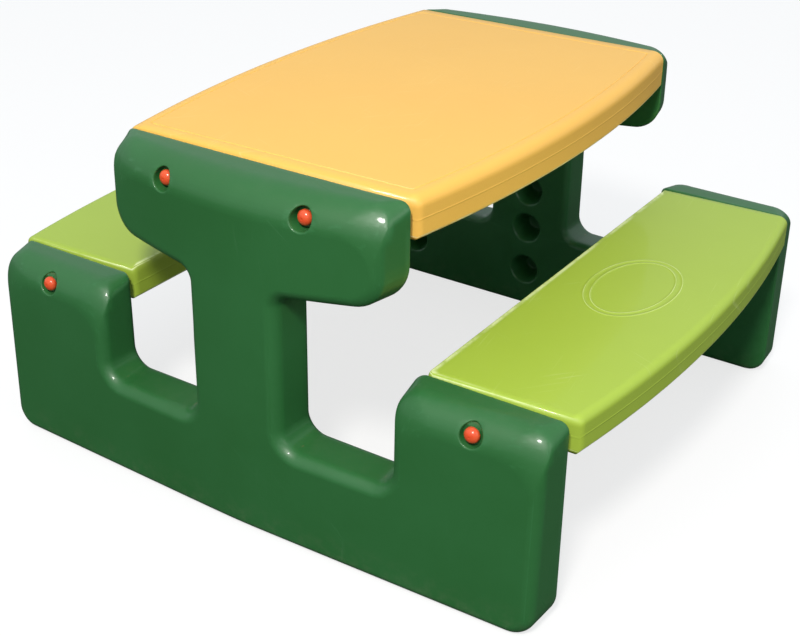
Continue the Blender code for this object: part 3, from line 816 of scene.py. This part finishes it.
# %% [markdown]
# ## Finishes
# Moulded polyethylene is waxy rather than glossy: its skin has a fine pebble from the mould, a slow
# waviness where it shrank, and colour that drifts a little. Play rubs the rounded edges paler and
# leaves short scratches; the pale small edges of the table top and benches are also a painted highlight.
# A tight bend could be found with a bevel or pointiness node, but both change with the mesh around them,
# so each point already carries its own bend, measured when the skin was made.
# Each effect is a node group with named inputs, and every colour of plastic uses it with its own values.

# %% Node helpers
def new_group(name, inputs, outputs=(("Mask", "NodeSocketFloat"),)):
    """A shader node group, the sockets of what it is given, and those of what it puts out."""
    group = bpy.data.node_groups.new(name, "ShaderNodeTree")
    for socket_name, default in inputs:
        kind = "NodeSocketColor" if isinstance(default, tuple) else "NodeSocketFloat"
        socket = group.interface.new_socket(socket_name, in_out="INPUT", socket_type=kind)
        socket.default_value = default
    for socket_name, kind in outputs:
        group.interface.new_socket(socket_name, in_out="OUTPUT", socket_type=kind)
    return group, group.nodes.new("NodeGroupInput").outputs, group.nodes.new("NodeGroupOutput").inputs


def put_out(group, out, **values):
    """Link each value to the group's output of that name, and return the finished group."""
    for name, value in values.items():
        group.links.new(value, out[name])
    return group


def add_node(tree, kind, values=None, **settings):
    """A node with its settings, and its input sockets set or linked from values."""
    node = tree.nodes.new("ShaderNode" + kind)
    for setting, value in settings.items():
        setattr(node, setting, value)
    for socket, value in (values or {}).items():
        if isinstance(value, bpy.types.NodeSocket):
            tree.links.new(value, node.inputs[socket])
        else:
            node.inputs[socket].default_value = value
    return node


def math_node(tree, operation, first, second=0.0, clamp=False):
    return add_node(tree, "Math", {0: first, 1: second}, operation=operation, use_clamp=clamp).outputs[0]


def times(tree, first, second):
    return math_node(tree, "MULTIPLY", first, second)


def spread(tree, value, low, high, to_low=0.0, to_high=1.0, curve="SMOOTHSTEP"):
    """Map a value from one range to another without leaving it, softly unless the curve is LINEAR."""
    return add_node(tree, "MapRange", {"Value": value, "From Min": low, "From Max": high, "To Min": to_low,
                                       "To Max": to_high}, interpolation_type=curve).outputs[0]


def piece_place(tree):
    return add_node(tree, "TexCoord").outputs["Object"]


def noise(tree, place, scale, detail, roughness=0.5):
    return add_node(tree, "TexNoise", {"Vector": place, "Scale": scale, "Detail": detail,
                                       "Roughness": roughness}).outputs[0]


def mixed_colour(tree, share, first, second):
    return add_node(tree, "Mix", {0: share, 6: first, 7: second}, data_type="RGBA").outputs[2]


def new_finish(name):
    """A material, its node tree and its shader."""
    material = bpy.data.materials.new(name)
    material.use_nodes = True
    return material, material.node_tree, material.node_tree.nodes["Principled BSDF"]


def add_relief(tree, shader, height, strength, distance):
    relief = add_node(tree, "Bump", {"Strength": strength, "Distance": distance, "Height": height})
    tree.links.new(relief.outputs[0], shader.inputs["Normal"])


def dress_in(material, *pieces):
    for piece in pieces:
        piece.data.materials.clear()
        piece.data.materials.append(material)


# %% Group: moulded skin
def moulded_skin_group():
    """Fine pebble and slow waves of a moulded surface, as a height, and a mask of its pits."""
    group, given, out = new_group("moulded skin", [("Pebble Count", 900.0), ("Wave Count", 9.0),
                                                   ("Wave Share", 0.5)],
                                  [("Height", "NodeSocketFloat"), ("Pits", "NodeSocketFloat")])
    place = piece_place(group)
    pebble = noise(group, place, given["Pebble Count"], 2.0)
    grain = add_node(group, "TexVoronoi", {"Vector": place, "Scale": given["Pebble Count"]},
                     feature="SMOOTH_F1").outputs["Distance"]
    wave = noise(group, place, given["Wave Count"], 1.0, 0.4)
    fine = math_node(group, "ADD", times(group, pebble, 0.6), times(group, grain, 0.4))
    slow = times(group, wave, given["Wave Share"])
    return put_out(group, out, Height=math_node(group, "ADD", fine, slow),
                   Pits=spread(group, pebble, 0.36, 0.28))


# %% Group: rubbed edges and painted edge highlight
def edge_wear_and_highlight_group():
    """Wear where hands and clothes reach, and a painted highlight: edges, as the mesh has marked them,
    broken up by patches.
    """
    group, given, out = new_group("edge wear and painted highlight", [("Flattest", 25.0), ("Sharpest", 160.0),
                                                   ("Patch Count", 22.0)])
    bend = add_node(group, "Attribute", attribute_name=BEND_MARK).outputs["Fac"]
    patches = noise(group, piece_place(group), given["Patch Count"], 5.0, 0.65)
    reach = spread(group, bend, given["Flattest"], given["Sharpest"], curve="LINEAR")
    return put_out(group, out, Mask=times(group, reach, spread(group, patches, 0.28, 0.60)))


# %% Group: painted shade in grooves
def painted_groove_shade_group():
    """Painted shade: tight hollows, such as the groove, turn dark brown."""
    group, given, out = new_group("painted groove shade", [("Widest", 900.0), ("Tightest", 2000.0)])
    hollow = add_node(group, "Attribute", attribute_name=HOLLOW_MARK).outputs["Fac"]
    reach = spread(group, hollow, given["Widest"], given["Tightest"], curve="LINEAR")
    patches = noise(group, piece_place(group), 30.0, 4.0)
    return put_out(group, out, Mask=times(group, reach, spread(group, patches, 0.30, 0.60, 0.5, 1.0)))


# %% Group: play scratches
def play_scratches_group():
    """Short fine scratches in three directions, thinned out by patches."""
    group, given, out = new_group("play scratches", [("Length Count", 9.0), ("Width Count", 420.0),
                                                     ("Density", 0.5)])
    place = piece_place(group)
    total = None
    for turn, offset in ((0.4, 0.0), (1.5, 3.1), (2.5, 7.7)):
        turned = add_node(group, "Mapping", {"Vector": place, "Location": (offset, offset, offset),
                                             "Rotation": (0.3 * turn, 0.2, turn)}).outputs[0]
        size = add_node(group, "CombineXYZ", {0: given["Length Count"], 1: given["Width Count"],
                                              2: given["Length Count"]}).outputs[0]
        stretched = add_node(group, "VectorMath", {0: turned, 1: size}, operation="MULTIPLY").outputs[0]
        line = spread(group, noise(group, stretched, 1.0, 1.0), 0.70, 0.76)
        total = line if total is None else math_node(group, "MAXIMUM", total, line)
    thick = math_node(group, "ADD", noise(group, place, 7.0, 3.0), times(group, given["Density"], 0.2))
    return put_out(group, out, Mask=times(group, total, spread(group, thick, 0.52, 0.66)))


# %% Group: colour drift
def colour_drift_group():
    """A colour that drifts slowly between two close shades, with fine speckle of pigment."""
    group, given, out = new_group("colour drift", [("Shade", (0.5, 0.5, 0.5, 1.0)),
                                                   ("Other Shade", (0.4, 0.4, 0.4, 1.0)),
                                                   ("Drift Count", 5.0), ("Speckle", 0.15)],
                                  [("Color", "NodeSocketColor")])
    place = piece_place(group)
    drift = noise(group, place, given["Drift Count"], 4.0, 0.55)
    speckle = spread(group, noise(group, place, 700.0, 2.0), 0.35, 0.65, -0.5, 0.5)
    fleck = times(group, speckle, given["Speckle"])
    share = math_node(group, "ADD", spread(group, drift, 0.3, 0.7), fleck, clamp=True)
    return put_out(group, out, Color=mixed_colour(group, share, given["Shade"], given["Other Shade"]))


# %% Group: settled dust
def settled_dust_group():
    """Dust and splashed dirt near the ground, strongest on faces that look up."""
    group, given, out = new_group("settled dust", [("Splash Height", 0.05), ("Amount", 0.5)])
    geometry = add_node(group, "NewGeometry")
    height = add_node(group, "SeparateXYZ", {0: geometry.outputs["Position"]}).outputs[2]
    up = add_node(group, "SeparateXYZ", {0: geometry.outputs["Normal"]}).outputs[2]
    low = spread(group, height, given["Splash Height"], 0.0, curve="LINEAR")
    patches = noise(group, piece_place(group), 60.0, 6.0, 0.7)
    upward = times(group, spread(group, up, 0.6, 1.0), 0.25)
    both = math_node(group, "MAXIMUM", low, upward)
    broken = times(group, both, spread(group, patches, 0.42, 0.7))
    return put_out(group, out, Mask=times(group, broken, given["Amount"]))


groups = {group.name: group for group in (moulded_skin_group(), edge_wear_and_highlight_group(), painted_groove_shade_group(),
                                          play_scratches_group(), colour_drift_group(),
                                          settled_dust_group())}
print("node groups:", sorted(groups))


# %% [markdown]
# ## Plastic and steel
# One recipe serves the three big plastics: drifting colour, paler where it is rubbed or scratched and
# where a painted highlight lies on small edges, dark brown painted shade in a groove, dull where dust lies,
# and a bump from the moulded skin. A rough base under a thin smooth coat gives the broad sheen and, inside
# it, the narrow glints on the ball corners. One roughness alone gives only one of them.

# %% Recipe for moulded plastic
COAT_SHARE = 0.22
COAT_ROUGHNESS = 0.09
PIT_ROUGHENS = 0.10
DUST = (0.30, 0.26, 0.20, 1)
# painted shade: the dark brown laid into the groove and other tight hollows
GROOVE_SHADE = (0.22, 0.14, 0.06, 1)


def use_group(tree, name, **values):
    node = tree.nodes.new("ShaderNodeGroup")
    node.node_tree = groups[name]
    for socket, value in values.items():
        node.inputs[socket.replace("_", " ")].default_value = value
    return node


def moulded_plastic(name, shade, other, pale_wear_and_highlight, roughness, scratch, dust, bends, wear_and_highlight_share):
    """bends: the bend where rubbing and the painted edge highlight start, and where they are full."""
    material, tree, shader = new_finish(name)
    shader.inputs["Coat Weight"].default_value = COAT_SHARE
    shader.inputs["Coat Roughness"].default_value = COAT_ROUGHNESS
    drift = use_group(tree, "colour drift", Shade=shade, Other_Shade=other)
    # The edge mask is wear, and on the table top and benches mostly a painted highlight along the small
    # roundings.
    edges = use_group(tree, "edge wear and painted highlight", Flattest=bends[0], Sharpest=bends[1]).outputs["Mask"]
    # Painted shade: a mask of the groove and other tight hollows.
    groove_shade = use_group(tree, "painted groove shade").outputs["Mask"]
    lines = use_group(tree, "play scratches", Density=scratch).outputs["Mask"]
    dirt = use_group(tree, "settled dust", Amount=dust).outputs["Mask"]
    skin = use_group(tree, "moulded skin")
    colour, rough = drift.outputs["Color"], roughness
    for mask, share, tint, roughens in ((edges, wear_and_highlight_share, pale_wear_and_highlight, -0.08),
                                        (lines, scratch * 0.5, pale_wear_and_highlight, 0.15),
                                        (dirt, 1.0, DUST, 0.30),
                                        (groove_shade, 0.6, GROOVE_SHADE, 0.0)):
        colour = mixed_colour(tree, times(tree, mask, share), colour, tint)
        rough = math_node(tree, "ADD", rough, times(tree, mask, roughens))
    pits = times(tree, skin.outputs["Pits"], PIT_ROUGHENS)
    tree.links.new(colour, shader.inputs["Base Color"])
    tree.links.new(math_node(tree, "ADD", rough, pits, clamp=True), shader.inputs["Roughness"])
    height = math_node(tree, "SUBTRACT", skin.outputs["Height"], times(tree, lines, 0.5))
    add_relief(tree, shader, height, strength=0.2, distance=0.0006)
    return material


# %% The three plastics
green_plastic = moulded_plastic("green moulding", (0.016, 0.115, 0.024, 1), (0.020, 0.128, 0.031, 1),
                                (0.050, 0.200, 0.075, 1), roughness=0.46, scratch=0.20, dust=0.10,
                                bends=(25, 160), wear_and_highlight_share=0.24)
# Yellow and lime turn their small edge roundings pale at full share: a painted highlight as well as wear.
yellow_plastic = moulded_plastic("yellow moulding", (0.860, 0.485, 0.085, 1), (0.848, 0.474, 0.081, 1),
                                 (1.000, 0.860, 0.500, 1), roughness=0.50, scratch=0.30, dust=0.05,
                                 bends=(110, 230), wear_and_highlight_share=1.00)
lime_plastic = moulded_plastic("lime moulding", (0.360, 0.498, 0.048, 1), (0.350, 0.486, 0.044, 1),
                               (0.760, 0.860, 0.400, 1), roughness=0.50, scratch=0.30, dust=0.05,
                               bends=(110, 230), wear_and_highlight_share=0.90)
dress_in(green_plastic, near_frame, far_frame)
dress_in(yellow_plastic, table_skin)
dress_in(lime_plastic, *bench_skins)
for skin in (near_frame, far_frame, table_skin, *bench_skins):
    print(skin.name, "is", skin.data.materials[0].name)


# %% Cap plastic
def cap_plastic():
    material, tree, shader = new_finish("red cap")
    drift = use_group(tree, "colour drift", Shade=(0.740, 0.080, 0.020, 1),
                      Other_Shade=(0.660, 0.060, 0.016, 1), Drift_Count=60.0)
    edges = use_group(tree, "edge wear and painted highlight", Patch_Count=160.0).outputs["Mask"]
    skin = use_group(tree, "moulded skin", Pebble_Count=1600.0, Wave_Count=90.0)
    colour = mixed_colour(tree, times(tree, edges, 0.2), drift.outputs["Color"],
                          (0.860, 0.240, 0.110, 1))
    tree.links.new(colour, shader.inputs["Base Color"])
    rough = math_node(tree, "ADD", 0.24, times(tree, skin.outputs["Pits"], 0.2))
    tree.links.new(rough, shader.inputs["Roughness"])
    add_relief(tree, shader, skin.outputs["Height"], strength=0.12, distance=0.0002)
    return material


dress_in(cap_plastic(), *caps)
print("red plastic on", len(caps), "caps")


# %% [markdown]
# ## Zinc on the screws and washers
# The screws and washers are small, round and mostly hidden, so their solids can stay as they are. Zinc
# plating has a faint cloudy pattern and dull spots where it has begun to oxidise. Both come from
# noise in the colour and the roughness of a plain metal.

# %% Zinc steel
def zinc_plating():
    material, tree, shader = new_finish("zinc plating")
    shader.inputs["Metallic"].default_value = 1.0
    place = piece_place(tree)
    cloud = noise(tree, place, 260.0, 5.0)
    spots = add_node(tree, "TexVoronoi", {"Vector": place, "Scale": 900.0}).outputs["Distance"]
    dull = spread(tree, times(tree, cloud, spots), 0.12, 0.30)
    tree.links.new(mixed_colour(tree, dull, (0.62, 0.62, 0.60, 1), (0.40, 0.39, 0.37, 1)),
                   shader.inputs["Base Color"])
    tree.links.new(spread(tree, dull, 0.0, 1.0, 0.28, 0.55), shader.inputs["Roughness"])
    add_relief(tree, shader, cloud, strength=0.1, distance=0.0001)
    return material


small_parts = [node for name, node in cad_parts.items() if name.startswith(("screw_", "washer_"))]
dress_in(zinc_plating(), *small_parts)
print("zinc on", len(small_parts), "small parts")

# %% [markdown]
# ## Floor, light and surroundings
# The photograph was taken outdoors: an even pale sky lights all that looks up, the ground gives back
# little, and one stronger light stands high on the near right. Its ball-corner glints and the dark under
# the top say so. A room with several lamps would put more than one glint on each corner. A weak fill
# from the right keeps the bowed sides of the table top and of the right bench from going dull.
# The floor is paler for the camera than for the table, so that it can be nearly white without lighting the
# undersides. The plain view transform keeps the plastics as saturated as they are.

# %% Floor
FLOOR_SIZE = 14.0
FLOOR_DROP = 0.0004
FLOOR_SEEN, FLOOR_HIDDEN = (0.24, 0.24, 0.24, 1), (0.05, 0.05, 0.05, 1)
GLOW_SEEN, GLOW_HIDDEN = (0.73, 0.73, 0.73, 1), (0, 0, 0, 1)


def pale_floor():
    mesh = bpy.data.meshes.new("floor")
    half = FLOOR_SIZE / 2
    mesh.from_pydata([(-half, -half, 0), (half, -half, 0), (half, half, 0), (-half, half, 0)], [],
                     [(0, 1, 2, 3)])
    floor = scene_object("floor", mesh)
    floor.location.z = -FLOOR_DROP
    material, tree, shader = new_finish("floor paint")
    seen = add_node(tree, "LightPath").outputs["Is Camera Ray"]
    tree.links.new(mixed_colour(tree, seen, FLOOR_HIDDEN, FLOOR_SEEN), shader.inputs["Base Color"])
    tree.links.new(mixed_colour(tree, seen, GLOW_HIDDEN, GLOW_SEEN), shader.inputs["Emission Color"])
    shader.inputs["Emission Strength"].default_value = 1.0
    shader.inputs["Roughness"].default_value = 0.85
    mesh.materials.append(material)


pale_floor()
print("floor:", FLOOR_SIZE, "m wide")


# %% Lights
def area_light(name, place, aim, size, watts, colour):
    lamp = bpy.data.lights.new(name, "AREA")
    lamp.shape = "DISK"
    lamp.size = size
    lamp.energy = watts
    lamp.color = colour
    light = scene_object(name, lamp)
    light.location = place
    light.rotation_euler = (Vector(aim) - Vector(place)).to_track_quat("-Z", "Y").to_euler()
    return light


lights = [area_light("key light", place=(1.18, -2.77, 3.24), aim=(0, 0, 0.3), size=0.7, watts=150,
                     colour=(1.0, 0.97, 0.92)),
          area_light("side fill", place=(3.4, -0.5, 1.9), aim=(0.2, 0, 0.45), size=1.6, watts=13,
                     colour=(1.0, 0.98, 0.95))]
print("lights:", [light.name for light in lights])

# %% Surroundings
SKY, GROUND, BACKDROP = (0.60, 0.65, 0.70, 1), (0.05, 0.05, 0.05, 1), (0.95, 0.95, 0.95, 1)
world = bpy.data.worlds.new("open sky")
world.use_nodes = True
sky = world.node_tree
direction = add_node(sky, "TexCoord").outputs["Generated"]
up = add_node(sky, "SeparateXYZ", {0: direction}).outputs[2]
glow = mixed_colour(sky, spread(sky, up, -0.04, 0.06), GROUND, SKY)
seen = add_node(sky, "LightPath").outputs["Is Camera Ray"]
sky.links.new(mixed_colour(sky, seen, glow, BACKDROP), sky.nodes["Background"].inputs["Color"])
bpy.context.scene.world = world
bpy.context.scene.view_settings.view_transform = "Standard"
print("sky", SKY[:3], "ground", GROUND[:3])
